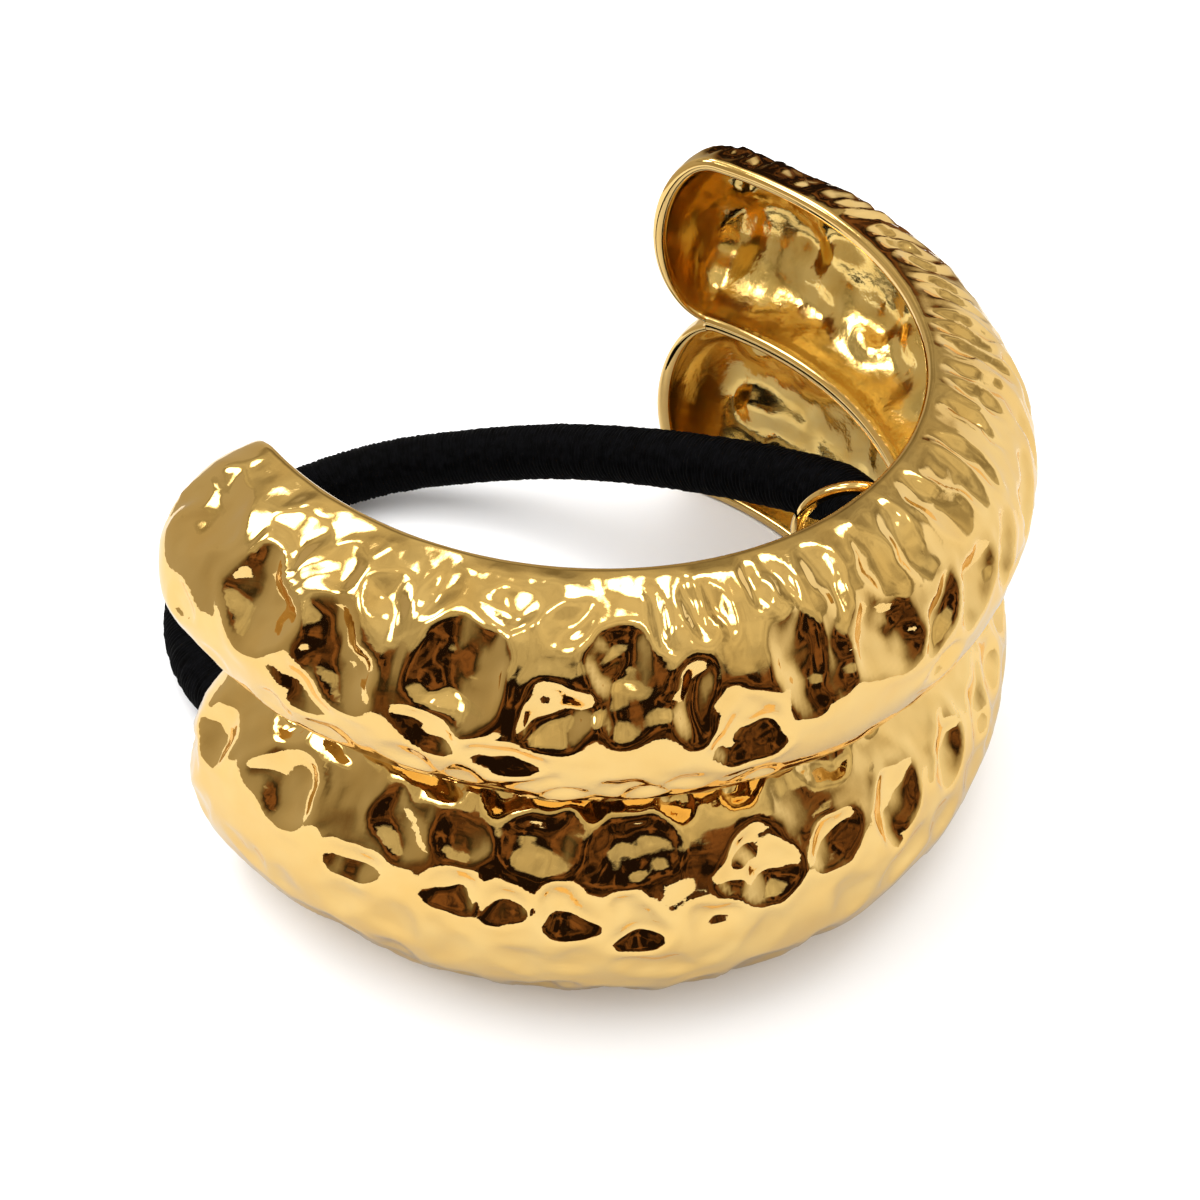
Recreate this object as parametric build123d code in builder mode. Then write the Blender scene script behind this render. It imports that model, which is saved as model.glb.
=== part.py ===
# Ponytail cuff: a hammered cast cuff of two stacked hollow lobes, open at the front,
# with a wire eyelet on its inner rib and an elastic hair ring threaded through the eyelet.
# Millimetres and degrees. The cuff stands on its foot rim, +Z up, and its opening faces +Y.
# Angles run round the cuff from the middle of its back, positive towards +X.
# Across a lobe, -90 is its lower rim, 0 its outermost line and 90 its upper rim.

import math
import os
from collections import namedtuple

from build123d import *

# Driving sizes of the cuff
half_width = 21.5       # of the opening at the top rim
half_depth = 22.7       # of the opening at the top rim
foot_flare = 0.105      # the opening is this share wider at the foot than at the top
cuff_height = 33.4
rib_height = 18.6       # where the two lobes meet
tip_round = 11.5        # angle taken by the rounded end of a lobe
wall = 1.1
rim_wall = 1.0          # width of the rim at the top, at the foot and round the tips
rib_wall = 0.65         # half the width of the rib between the lobes
valley = 1.3            # metal left between the rib and the groove outside it
valley_fade = 7.0       # angle over which that metal thins out towards a notch
middle_back = 10.45     # the middle of the cuff lies this far behind the opening's axis
middle_aside = 0.2      # and this far to the right of it

# The eyelet is a wire ring that stands upright on the rib
eyelet_angle = 35.0
eyelet_radius = 3.9     # to the middle of the wire
eyelet_wire = 0.9
eyelet_bite = 0.5       # how deep the solder sinks it into the rib

# The elastic ring
elastic_diameter = 4.6
bend_share = 0.45       # how much of the shorter run beside a bend its arc takes

# How finely the cast skin is faceted
stations_back = 82      # round the fused part
stations_tip = 7        # round each rounded end
rows_outer = 13         # across the outside of a lobe
rows_inner = 9          # across its hollow
least_facet = 1e-6      # twice the area of the smallest triangle kept
least_size = 0.01       # keeps the slope of a closing tip defined

Lobe = namedtuple("Lobe", "foot top depth tip_depth_left tip_depth_right tip_left tip_right wall_foot wall_top")
lower = Lobe(0.0, rib_height, 7.4, 7.5, 8.0, 110.9, 113.4, rim_wall, rib_wall)
upper = Lobe(rib_height, cuff_height, 7.3, 7.5, 8.0, 113.1, 115.6, rib_wall, rim_wall)
notch_left = 101.8
notch_right = 104.3

# Hammer marks that the front shows. Places are angles, sizes are millimetres,
# and turn leans a mark's long way from along the lobe towards its top rim.
Dent = namedtuple("Dent", "along across length height depth turn")
upper_dents = [
    Dent(-105, 42, 2.2, 4.4, 0.55, -15),
    Dent(-98, 4, 2.4, 2.6, 0.35, 0),
    Dent(-100, 50, 5.6, 6.4, 0.50, 10),
    Dent(-87, 65, 4.4, 4.2, 0.35, 0),
    Dent(-87, 31, 4.4, 6.6, 1.10, 20),
    Dent(-79, 3, 4.0, 3.0, 0.65, -20),
    Dent(-79, 60, 3.0, 3.6, 0.30, 20),
    Dent(-76, 26, 6.6, 4.6, 1.05, -30),
    Dent(-72, 58, 3.4, 3.4, 0.35, 0),
    Dent(-66, 70, 3.4, 3.0, 0.30, 0),
    Dent(-64, 10, 3.4, 2.2, 0.60, -10),
    Dent(-62, 37, 5.8, 6.2, 1.20, 0),
    Dent(-57, 68, 3.6, 3.2, 0.30, 0),
    Dent(-56, 1, 4.6, 2.6, 0.65, -12),
    Dent(-50, 60, 3.2, 3.6, 0.30, 0),
    Dent(-49, 21, 4.4, 4.2, 1.00, 0),
    Dent(-49, -25, 2.8, 2.0, 0.35, 0),
    Dent(-43, 38, 4.6, 6.0, 1.05, 10),
    Dent(-41, -24, 2.8, 2.0, 0.40, 0),
    Dent(-36, 27, 4.2, 5.8, 0.95, -10),
    Dent(-29, 12, 5.0, 5.0, 1.00, 15),
    Dent(-28, -22, 2.6, 1.8, 0.30, 0),
    Dent(-22, 32, 4.2, 6.4, 0.75, 15),
    Dent(-18, 32, 2.0, 6.0, 0.60, 5),
    Dent(-12, 29, 5.2, 5.2, 0.85, -10),
    Dent(-3, 28, 2.6, 5.6, 0.80, -45),
    Dent(-2, -5, 3.4, 2.6, 0.50, 40),
    Dent(5, 22, 3.0, 5.2, 0.75, -40),
    Dent(12, 15, 2.8, 5.2, 0.65, -40),
    Dent(22, 18, 2.8, 6.2, 0.60, -40),
    Dent(32, 32, 2.6, 5.6, 0.55, -35),
    Dent(41, 30, 2.8, 6.0, 0.60, -35),
]
lower_dents = [
    Dent(-104, 12, 3.2, 3.6, 0.45, 0),
    Dent(-99, 36, 4.2, 4.6, 0.70, 0),
    Dent(-86, 36, 5.0, 4.8, 0.80, 10),
    Dent(-75, 20, 3.2, 2.8, 0.50, 0),
    Dent(-70, 43, 3.6, 5.0, 0.90, 10),
    Dent(-63, 46, 3.0, 3.8, 0.70, 0),
    Dent(-63, 21, 4.0, 2.6, 0.60, 0),
    Dent(-57, 21, 2.8, 2.4, 0.50, 0),
    Dent(-53, 48, 6.4, 4.8, 1.10, -10),
    Dent(-49, 20, 4.2, 4.2, 0.90, 0),
    Dent(-42, 46, 6.0, 4.6, 1.00, 10),
    Dent(-42, 14, 3.8, 3.6, 0.80, 0),
    Dent(-33, 12, 3.4, 3.2, 0.60, 0),
    Dent(-26, 29, 4.8, 5.4, 1.00, 15),
    Dent(-16, 32, 3.6, 3.8, 0.70, 0),
    Dent(-6, 29, 3.4, 5.0, 0.80, -40),
    Dent(5, 28, 3.2, 5.6, 0.70, -30),
    Dent(14, 27, 3.0, 5.4, 0.60, -30),
]

# Rows of like marks that carry the hammering round where the front doesn't show it:
# from one angle to another, a pitch apart, each a little off its row.
MarkRow = namedtuple("MarkRow", "start end pitch across length height depth turn")
upper_rows = [
    MarkRow(-38, -21, 3.9, 70, 1.8, 5.2, 0.40, 10),
    MarkRow(-15, 22, 6.6, 64, 2.8, 6.8, 0.42, 0),
    MarkRow(26, 108, 4.5, 68, 1.9, 6.6, 0.48, -8),
    MarkRow(50, 108, 8.7, 24, 3.2, 6.4, 0.65, -30),
    MarkRow(16, 106, 7.9, -6, 3.6, 3.4, 0.50, -20),
    MarkRow(-92, -34, 8.1, -13, 3.2, 2.4, 0.25, 0),
    MarkRow(-104, 106, 9.6, -47, 4.4, 3.2, 0.35, 0),
]
lower_rows = [
    MarkRow(23, 108, 9.1, 32, 3.8, 5.6, 0.75, -25),
    MarkRow(-14, 106, 8.3, 2, 4.0, 4.0, 0.50, -20),
    MarkRow(-98, -20, 7.3, -4, 3.6, 2.8, 0.28, 0),
    MarkRow(-106, 108, 8.9, -36, 4.6, 4.2, 0.45, 0),
    MarkRow(-100, 104, 10.7, 66, 3.4, 2.6, 0.30, 0),
]
golden = 0.618034       # strays a row's marks evenly, without repeating
other_golden = 1.854102  # three times as far, for what strays by itself
other_start = 0.3
stray_angle = 2.4
stray_across = 9.0
stray_size = 0.35

mark_roundness = 1.5    # 1 is a bowl with a sharp edge, more fades into the skin
lip_height = 0.11       # metal thrown up round a mark, as a share of its depth
lip_place = 1.15        # in radii of the mark
lip_width = 0.3
lip_end = 2.0
rim_fade_start = 72.0   # the marks fade out from here
rim_fade_end = 88.0     # and are gone by here
mark_reach = 29.0       # radius at which a mark's length is measured


def row_marks(rows):
    """The single marks of each row."""
    marks = []
    for row in rows:
        for index in range(int((row.end - row.start) / row.pitch) + 1):
            stray = (index * golden) % 1.0 - 0.5
            other = (index * other_golden + other_start) % 1.0 - 0.5
            marks.append(
                Dent(
                    row.start + index * row.pitch + stray * stray_angle,
                    row.across + other * stray_across,
                    row.length * (1.0 + stray * stray_size),
                    row.height * (1.0 + other * stray_size),
                    row.depth * (1.0 + stray * stray_size),
                    row.turn,
                )
            )
    return marks


marks_of = {
    lower: lower_dents + row_marks(lower_rows),
    upper: upper_dents + row_marks(upper_rows),
}


def smooth(share):
    """Ease from 0 to 1."""
    share = min(1.0, max(0.0, share))
    return share * share * (3.0 - 2.0 * share)


def relief(lobe, angle, across):
    """How deep the hammering goes at one place of a lobe."""
    fade = 1.0 - smooth((abs(across) - rim_fade_start) / (rim_fade_end - rim_fade_start))
    if fade == 0.0:
        return 0.0
    section_radius = (lobe.depth + (lobe.top - lobe.foot) / 2) / 2
    hollow = 0.0
    lip = 0.0
    for mark in marks_of[lobe]:
        run = math.radians(angle - mark.along) * mark_reach
        rise = math.radians(across - mark.across) * section_radius
        turn = math.radians(mark.turn)
        u = (run * math.cos(turn) + rise * math.sin(turn)) / (mark.length / 2)
        v = (rise * math.cos(turn) - run * math.sin(turn)) / (mark.height / 2)
        r = math.hypot(u, v)
        if r < 1.0:
            hollow += (mark.depth * (1.0 - r * r) ** mark_roundness) ** 2
        if r < lip_end:
            lip = max(lip, mark.depth * lip_height * math.exp(-(((r - lip_place) / lip_width) ** 2)))
    return fade * (math.sqrt(hollow) - lip)


def rim_point(angle, height):
    """The point of the inner wall at an angle and a height, and the way out from it."""
    scale = 1.0 + foot_flare * (1.0 - height / cuff_height)
    turn = math.radians(angle)
    x = scale * half_width * math.sin(turn)
    y = -scale * half_depth * math.cos(turn)
    out = Vector(half_depth * math.sin(turn), -half_width * math.cos(turn)).normalized()
    return Vector(x, y, height), out


def rounded_end(lobe, angle, inset):
    """How much of a lobe's section is left at an angle, from 1 down to 0 at its tip."""
    tip = (lobe.tip_right if angle > 0 else lobe.tip_left) - inset
    share = (abs(angle) - (tip + inset - tip_round)) / (tip_round - inset)
    return math.sqrt(max(0.0, 1.0 - max(0.0, share) ** 2))


def bulge(lobe, angle):
    """How far a lobe stands out from the inner wall."""
    right = angle > 0
    tip = lobe.tip_right if right else lobe.tip_left
    tip_depth = lobe.tip_depth_right if right else lobe.tip_depth_left
    return tip_depth + (lobe.depth - tip_depth) * (1.0 - (angle / tip) ** 2)


def valley_left(angle):
    """Metal between the rib and the groove outside it."""
    notch = notch_right if angle > 0 else notch_left
    return valley * smooth((notch - abs(angle)) / valley_fade)


tip_inset = math.degrees(rim_wall / half_depth)


def skin_point(lobe, angle, across, inside):
    """A point of a lobe's outside, or of its hollow."""
    foot = lobe.foot + (lobe.wall_foot if inside else 0.0)
    top = lobe.top - (lobe.wall_top if inside else 0.0)
    end = rounded_end(lobe, angle, tip_inset if inside else 0.0)
    half_height = (top - foot) / 2 * end
    stand_out = (bulge(lobe, angle) - (wall if inside else 0.0)) * end
    turn = math.radians(across)
    height = (foot + top) / 2 + half_height * math.sin(turn)
    reach = stand_out * math.cos(turn)
    if not inside:
        reach = max(reach, valley_left(angle) if lobe_meets_rib(lobe, across) else 0.0)
    lean = math.atan2(
        math.sin(turn) * max(stand_out, least_size),
        math.cos(turn) * max(half_height, least_size),
    )
    sunk = relief(lobe, angle, across) * end
    reach -= sunk * math.cos(lean)
    height -= sunk * math.sin(lean)
    base, out = rim_point(angle, height)
    return base + out * reach


def lobe_meets_rib(lobe, across):
    """Whether a place lies on the half of a lobe next to the rib."""
    return (across > 0) == (lobe is lower)


def station_angle(lobe, index, inside):
    """Angle of one station: an even spread over the fused part, closer round the tips."""
    right = index > stations_back / 2
    tip = lobe.tip_right if right else lobe.tip_left
    notch = notch_right if right else notch_left
    inset = tip_inset if inside else 0.0
    start = tip - tip_round
    notch_turn = math.asin(max(0.0, (notch - start) / tip_round))
    notch_here = start + (tip_round - inset) * math.sin(notch_turn)
    if 0 <= index <= stations_back:
        share = abs(index - stations_back / 2) / (stations_back / 2)
        angle = notch_here * share
    else:
        step = (index - stations_back if right else -index) / stations_tip
        angle = start + (tip_round - inset) * math.sin(notch_turn + (math.pi / 2 - notch_turn) * step)
    return angle if right else -angle


first = -stations_tip
last = stations_back + stations_tip


def is_fused(index):
    """Whether a station lies where the two lobes are one."""
    return 0 <= index <= stations_back


def cuff_facets():
    """The cuff's skin as triangles, each three points."""
    grid = {}
    for lobe in (lower, upper):
        for inside, rows in ((False, rows_outer), (True, rows_inner)):
            for index in range(first, last + 1):
                angle = station_angle(lobe, index, inside)
                for row in range(rows + 1):
                    across = -90.0 + 180.0 * row / rows
                    grid[lobe, inside, index, row] = skin_point(lobe, angle, across, inside)
    for index in range(0, stations_back + 1):
        low = grid[lower, False, index, rows_outer]
        high = grid[upper, False, index, 0]
        middle = (low + high) / 2
        grid[lower, False, index, rows_outer] = middle
        grid[upper, False, index, 0] = middle

    facets = []

    def add_triangle(a, b, c):
        if (b - a).cross(c - a).length > least_facet:
            facets.append((placed(a), placed(b), placed(c)))

    def add_quad(a, b, c, d):
        if (c - a).length < (d - b).length:
            add_triangle(a, b, c)
            add_triangle(a, c, d)
        else:
            add_triangle(a, b, d)
            add_triangle(b, c, d)

    for index in range(first, last):
        after = index + 1
        for lobe in (lower, upper):
            for row in range(rows_outer):
                add_quad(
                    grid[lobe, False, index, row],
                    grid[lobe, False, after, row],
                    grid[lobe, False, after, row + 1],
                    grid[lobe, False, index, row + 1],
                )
            for row in range(rows_inner):
                add_quad(
                    grid[lobe, True, index, row],
                    grid[lobe, True, index, row + 1],
                    grid[lobe, True, after, row + 1],
                    grid[lobe, True, after, row],
                )
        fused = is_fused(index) and is_fused(after)
        rims = [(lower, 0, 0, 1), (upper, rows_outer, rows_inner, -1)]
        if not fused:
            rims += [(lower, rows_outer, rows_inner, -1), (upper, 0, 0, 1)]
        for lobe, outer_row, inner_row, facing in rims:
            corners = [
                grid[lobe, False, index, outer_row],
                grid[lobe, True, index, inner_row],
                grid[lobe, True, after, inner_row],
                grid[lobe, False, after, outer_row],
            ]
            add_quad(*corners[::facing])
        if fused:
            add_quad(
                grid[lower, True, index, rows_inner],
                grid[upper, True, index, 0],
                grid[upper, True, after, 0],
                grid[lower, True, after, rows_inner],
            )
    for index, facing in ((0, 1), (stations_back, -1)):
        corners = [
            grid[lower, False, index, rows_outer],
            grid[upper, True, index, 0],
            grid[lower, True, index, rows_inner],
        ]
        add_triangle(*corners[::facing])
    return facets


cuff_middle = Vector(middle_aside, -middle_back)


def placed(point):
    """Move a point from the opening's axis to the part's own origin."""
    return point - cuff_middle


# The cuff with its eyelet, one solid of soldered metal
casting = Solid(Shell([Face(Wire.make_polygon(facet, close=True)) for facet in cuff_facets()]))
rib, rib_out = rim_point(eyelet_angle, rib_height)
eyelet_middle = placed(rib - rib_out * (eyelet_radius + eyelet_wire / 2 - eyelet_bite))
eyelet_plane = Plane(origin=eyelet_middle, z_dir=rib_out.cross(Vector(0, 0, 1)))
with BuildPart() as cuff:
    add(casting)
    with Locations(eyelet_plane):
        Torus(eyelet_radius, eyelet_wire / 2)
cuff.part.label = "cuff"

# The elastic ring's middle line, from the eyelet along the near side, out over the floor
# in front of the opening and back up the far side. Offsets are from the opening's axis.
Stop = namedtuple("Stop", "x y height")
elastic_route = [
    Stop(5.6, -19.4, 18.5),
    Stop(-1.8, -20.8, 17.2),
    Stop(-9.4, -18.4, 14.6),
    Stop(-15.2, -12.9, 11.6),
    Stop(-18.2, -5.6, 8.6),
    Stop(-19.0, 1.5, 5.9),
    Stop(-19.8, 8.0, 3.9),
    Stop(-20.8, 14.8, 2.6),
    Stop(-19.0, 21.2, 2.35),
    Stop(-14.5, 26.3, 2.35),
    Stop(-8.0, 28.7, 2.35),
    Stop(-1.4, 28.1, 2.4),
    Stop(4.6, 25.0, 3.2),
    Stop(9.3, 19.2, 4.9),
    Stop(12.4, 12.0, 7.8),
    Stop(13.7, 4.0, 11.1),
    Stop(14.1, -3.8, 14.3),
    Stop(14.1, -9.8, 16.6),
    Stop(13.7, -14.0, 18.0),
    Stop(11.2, -17.0, 18.6),
]
stops = [placed(Vector(*stop)) for stop in elastic_route]


def bend_radius(index):
    """The largest arc that the two runs at one stop leave room for."""
    arriving = stops[index] - stops[index - 1]
    leaving = stops[(index + 1) % len(stops)] - stops[index]
    half_turn = math.radians(arriving.get_angle(leaving)) / 2
    return bend_share * min(arriving.length, leaving.length) / math.tan(half_turn)


radii = [bend_radius(index) for index in range(len(stops))]
print("elastic radii", [round(radius, 1) for radius in radii])
halfway = len(stops) // 2
in_eyelet = (stops[-1] + stops[0]) / 2
over_floor = (stops[halfway - 1] + stops[halfway]) / 2
elastic_length = 0.0
with BuildPart() as elastic:
    for half, bends in (
        ([in_eyelet, *stops[:halfway], over_floor], radii[:halfway]),
        ([over_floor, *stops[halfway:], in_eyelet], radii[halfway:]),
    ):
        with BuildLine() as middle_line:
            FilletPolyline(*half, radius=bends)
        line = middle_line.wires()[0]
        elastic_length += line.length
        with BuildSketch(Plane(origin=line @ 0, z_dir=line % 0)):
            Circle(elastic_diameter / 2)
        sweep(path=line)
elastic.part.label = "elastic"
section = math.pi * elastic_diameter**2 / 4
share = elastic.part.volume / section / elastic_length
print("elastic length", round(elastic_length, 1), "volume over section times length", round(share, 4))

os.makedirs("parts", exist_ok=True)
export_step(cuff.part, "parts/cuff.step")
export_step(elastic.part, "parts/elastic.step")
box = cuff.part.bounding_box()
print("cuff box", box.min, box.max, "volume", round(cuff.part.volume, 1), "solids", len(cuff.part.solids()))
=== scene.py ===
import math

import bpy
import numpy as np
from mathutils import Matrix, Vector


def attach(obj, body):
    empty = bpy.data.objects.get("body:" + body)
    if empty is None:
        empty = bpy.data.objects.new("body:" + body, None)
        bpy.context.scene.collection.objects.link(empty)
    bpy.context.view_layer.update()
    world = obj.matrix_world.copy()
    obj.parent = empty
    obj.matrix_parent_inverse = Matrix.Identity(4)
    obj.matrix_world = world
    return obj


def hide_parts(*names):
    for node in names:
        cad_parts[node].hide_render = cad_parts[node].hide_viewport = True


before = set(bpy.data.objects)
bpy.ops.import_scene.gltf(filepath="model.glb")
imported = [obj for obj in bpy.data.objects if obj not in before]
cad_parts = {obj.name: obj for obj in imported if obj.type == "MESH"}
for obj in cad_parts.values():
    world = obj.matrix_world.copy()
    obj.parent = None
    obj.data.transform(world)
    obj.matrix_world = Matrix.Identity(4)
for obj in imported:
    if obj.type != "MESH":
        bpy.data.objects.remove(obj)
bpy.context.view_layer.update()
print("frame loaded")

# Ponytail cuff: a hammered gold cuff of two stacked hollow lobes and its black elastic.
# Lengths are millimetres and angles degrees, and meshes are scaled to metres as they are made.
mm = 0.001

# Camera at the photograph's viewing angle
cameraSpec = {
    "place": (-67.19, -48.86, 100.22),
    "aim": (-0.19, 7.59, 10.25),
    "roll": 2.18,
    "lens": 52.43,
    "sensor": 36.0,
    "nearestSeen": 0.005,     # metres
    "farthestSeen": 20.0,     # metres
}


def makeCamera(spec):
    place = Vector(spec["place"]) * mm
    back = (place - Vector(spec["aim"]) * mm).normalized()
    level = Vector((0, 0, 1)).cross(back).normalized()
    rise = back.cross(level)
    roll = math.radians(spec["roll"])
    right = level * math.cos(roll) + rise * math.sin(roll)
    up = rise * math.cos(roll) - level * math.sin(roll)
    data = bpy.data.cameras.new("camera")
    data.lens = spec["lens"]
    data.sensor_width = spec["sensor"]
    data.clip_start = spec["nearestSeen"]
    data.clip_end = spec["farthestSeen"]
    camera = bpy.data.objects.new("camera", data)
    camera.matrix_world = Matrix.Translation(place) @ Matrix((right, up, back)).transposed().to_4x4()
    bpy.context.scene.collection.objects.link(camera)
    bpy.context.scene.camera = camera


makeCamera(cameraSpec)
print("camera placed")


# The middle of the cuff lies behind and beside the axis of its opening
cuffMiddle = (0.2, -10.45)


def placed(points):
    return (points - np.array([*cuffMiddle, 0.0])) * mm


def meshObject(name, points, faces, materials, faceMaterial=None):
    mesh = bpy.data.meshes.new(name)
    mesh.from_pydata(points.tolist(), [], faces.tolist())
    for material in materials:
        mesh.materials.append(material)
    if faceMaterial is not None:
        mesh.polygons.foreach_set("material_index", np.asarray(faceMaterial, dtype=np.int32))
    mesh.polygons.foreach_set("use_smooth", np.ones(len(mesh.polygons), dtype=bool))
    mesh.update()
    made = bpy.data.objects.new(name, mesh)
    bpy.context.scene.collection.objects.link(made)
    return made


# Noise over a surface, the same on every run. Each use has a layer, and cells take the next one too.
noiseSpec = {
    "seed": 41,
    "layers": 20,
    "cells": 256,
    "cellStray": 0.42,        # of a bowl's middle from its cell's, in cells
    "ridgeDistance": 0.5,     # squared, from a bowl's middle to a full ridge
}
noiseLayers = {
    "windings": 2, "thickness": 3,
    "strayAlong": 4, "smallStrayAlong": 5, "strayUp": 6, "smallStrayUp": 7,
    "pebbles": 8, "finePebbles": 10, "swells": 12, "creases": 13,
    "lumps": 14, "knobs": 15, "wrinkles": 16, "facets": 17,
}
noiseLattice = np.random.default_rng(noiseSpec["seed"]).uniform(
    -1.0, 1.0, (noiseSpec["layers"], noiseSpec["cells"], noiseSpec["cells"])
)


def smooth(share):
    share = np.clip(share, 0.0, 1.0)
    return share * share * (3.0 - 2.0 * share)


def latticeValue(cellU, cellV, layer):
    cells = noiseSpec["cells"]
    return noiseLattice[layer, cellU.astype(int) % cells, cellV.astype(int) % cells]


# Between -1 and 1, changing smoothly over about one unit of u and v
def evenNoise(u, v, use):
    layer = noiseLayers[use]
    cellU, cellV = np.floor(u), np.floor(v)
    easeU, easeV = smooth(u - cellU), smooth(v - cellV)
    near = latticeValue(cellU, cellV, layer) * (1 - easeU)
    near = near + latticeValue(cellU + 1, cellV, layer) * easeU
    far = latticeValue(cellU, cellV + 1, layer) * (1 - easeU)
    far = far + latticeValue(cellU + 1, cellV + 1, layer) * easeU
    return near * (1 - easeV) + far * easeV


# Bowls side by side that meet in ridges: 0 in the middle of a bowl, up to 1 on a ridge
def hammerCells(u, v, use):
    layer, stray = noiseLayers[use], noiseSpec["cellStray"]
    cellU, cellV = np.floor(u), np.floor(v)
    nearest = np.full_like(u, np.inf)
    for stepU in (-1, 0, 1):
        for stepV in (-1, 0, 1):
            hereU, hereV = cellU + stepU, cellV + stepV
            middleU = hereU + 0.5 + stray * latticeValue(hereU, hereV, layer)
            middleV = hereV + 0.5 + stray * latticeValue(hereU, hereV, layer + 1)
            nearest = np.minimum(nearest, (u - middleU) ** 2 + (v - middleV) ** 2)
    return np.clip(nearest / noiseSpec["ridgeDistance"], 0.0, 1.0)


# Elastic: the route's stops are the solid's, taken from the opening's axis and the floor
elasticRoute = [
    (5.6, -19.4, 18.5),
    (-1.8, -20.8, 17.2),
    (-9.4, -18.4, 14.6),
    (-15.2, -12.9, 11.6),
    (-18.2, -5.6, 8.6),
    (-19.0, 1.5, 5.9),
    (-19.8, 8.0, 3.9),
    (-20.8, 14.8, 2.6),
    (-19.0, 21.2, 2.35),
    (-14.5, 26.3, 2.35),
    (-8.0, 28.7, 2.35),
    (-1.4, 28.1, 2.4),
    (4.6, 25.0, 3.2),
    (9.3, 19.2, 4.9),
    (12.4, 12.0, 7.8),
    (13.7, 4.0, 11.1),
    (14.1, -3.8, 14.3),
    (14.1, -9.8, 16.6),
    (13.7, -14.0, 18.0),
    (11.2, -17.0, 18.6),
]
elasticSpec = {
    "diameter": 4.6,
    "threadPitch": 0.34,      # from one winding of yarn to the next
    "threadDepth": 0.13,
    "crownPower": 0.7,        # a lower power makes the windings flatter on top
    "ringsPerThread": 5,
    "around": 36,
    "unevenness": 0.05,
    "unevenPatches": (9, 1.1),    # in a turn round the section, and in a winding along the ring
    "wander": 0.55,           # how far a winding strays, in pitches
    "wanderPatches": (7, 0.4),
    "twistPitch": 0.30,       # of the yarn's own twist, along a winding
    "twistDepth": 0.03,
    "twistShift": 0.37,       # from one winding's twist to the next one's
    "splineOrder": 3,
    "samplesPerSpan": 24,
}


def routeLine(stops, spec):
    curve = bpy.data.curves.new("elasticRoute", "CURVE")
    curve.dimensions = "3D"
    curve.resolution_u = spec["samplesPerSpan"]
    spline = curve.splines.new("NURBS")
    spline.points.add(len(stops) - 1)
    for point, stop in zip(spline.points, stops):
        point.co = (*stop, 1.0)
    spline.order_u = spec["splineOrder"]
    spline.use_endpoint_u = True
    holder = bpy.data.objects.new("elasticRoute", curve)
    bpy.context.scene.collection.objects.link(holder)
    bpy.context.view_layer.update()
    line = bpy.data.meshes.new_from_object(holder)
    points = np.array([vertex.co for vertex in line.vertices], dtype=float)
    bpy.data.objects.remove(holder)
    bpy.data.curves.remove(curve)
    bpy.data.meshes.remove(line)
    return points


def evenSteps(points, count):
    runs = np.linalg.norm(np.diff(points, axis=0), axis=1)
    travelled = np.concatenate([[0.0], np.cumsum(runs)])
    wanted = np.linspace(0.0, travelled[-1], count)
    spaced = [np.interp(wanted, travelled, points[:, axis]) for axis in range(3)]
    return np.stack(spaced, axis=1), travelled[-1]


def makeElastic(spec, material):
    table = np.array(elasticRoute)
    inEyelet = (table[0] + table[-1]) / 2
    stops = placed(np.vstack([inEyelet, table, inEyelet]))
    line = routeLine(stops, spec)
    length = evenSteps(line, 2)[1]
    threads = round(length / (spec["threadPitch"] * mm))
    rings = threads * spec["ringsPerThread"]
    middle = evenSteps(line, rings + 1)[0]
    ahead = np.roll(middle[:-1], -1, axis=0) - np.roll(middle[:-1], 1, axis=0)
    ahead /= np.linalg.norm(ahead, axis=1)[:, None]

    # Carry one side direction along the ring, then share out the twist that is left over
    sides = np.zeros_like(ahead)
    side = np.cross(ahead[0], (0.0, 0.0, 1.0))
    for index, direction in enumerate(ahead):
        side = side - direction * side.dot(direction)
        side = side / np.linalg.norm(side)
        sides[index] = side
    closing = side - ahead[0] * side.dot(ahead[0])
    twist = math.atan2(np.cross(sides[0], closing).dot(ahead[0]), sides[0].dot(closing))
    others = np.cross(ahead, sides)

    turns = np.arange(spec["around"]) / spec["around"]
    steps = np.arange(rings) / spec["ringsPerThread"]
    turnGrid, stepGrid = np.meshgrid(turns, steps)
    patchTurn, patchStep = spec["wanderPatches"]
    stray = spec["wander"] * evenNoise(turnGrid * patchTurn, stepGrid * patchStep, "windings")
    winding = stepGrid - turnGrid + stray
    crown = np.abs(np.sin(math.pi * winding)) ** spec["crownPower"]
    twists = round(math.pi * spec["diameter"] / spec["twistPitch"])
    ply = 0.5 + 0.5 * np.sin(2 * math.pi * (twists * turnGrid + spec["twistShift"] * np.floor(winding)))
    patchTurn, patchStep = spec["unevenPatches"]
    uneven = spec["unevenness"] * evenNoise(turnGrid * patchTurn, stepGrid * patchStep, "thickness")
    sunk = spec["threadDepth"] * (1 - crown) + spec["twistDepth"] * ply * crown
    radius = (spec["diameter"] / 2 - sunk - spec["unevenness"] + uneven) * mm
    angle = 2 * math.pi * turnGrid - twist * (np.arange(rings) / rings)[:, None]
    reach = np.cos(angle)[..., None] * sides[:, None] + np.sin(angle)[..., None] * others[:, None]
    points = middle[:-1, None] + reach * radius[..., None]

    here = np.arange(rings)[:, None] * spec["around"] + np.arange(spec["around"])[None]
    after = np.roll(here, -1, axis=0)
    faces = np.stack([here, np.roll(here, -1, axis=1), np.roll(after, -1, axis=1), after], axis=-1)
    elastic = meshObject("elasticRing", points.reshape(-1, 3), faces.reshape(-1, 4), [material])
    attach(elastic, "root")
    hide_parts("elastic")
    print("elastic wound,", threads, "turns,", round(length / mm, 1), "mm round")


def newMaterial(name):
    material = bpy.data.materials.new(name)
    material.use_nodes = True
    nodes = material.node_tree.nodes
    return material, nodes, material.node_tree.links, nodes["Principled BSDF"]


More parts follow.
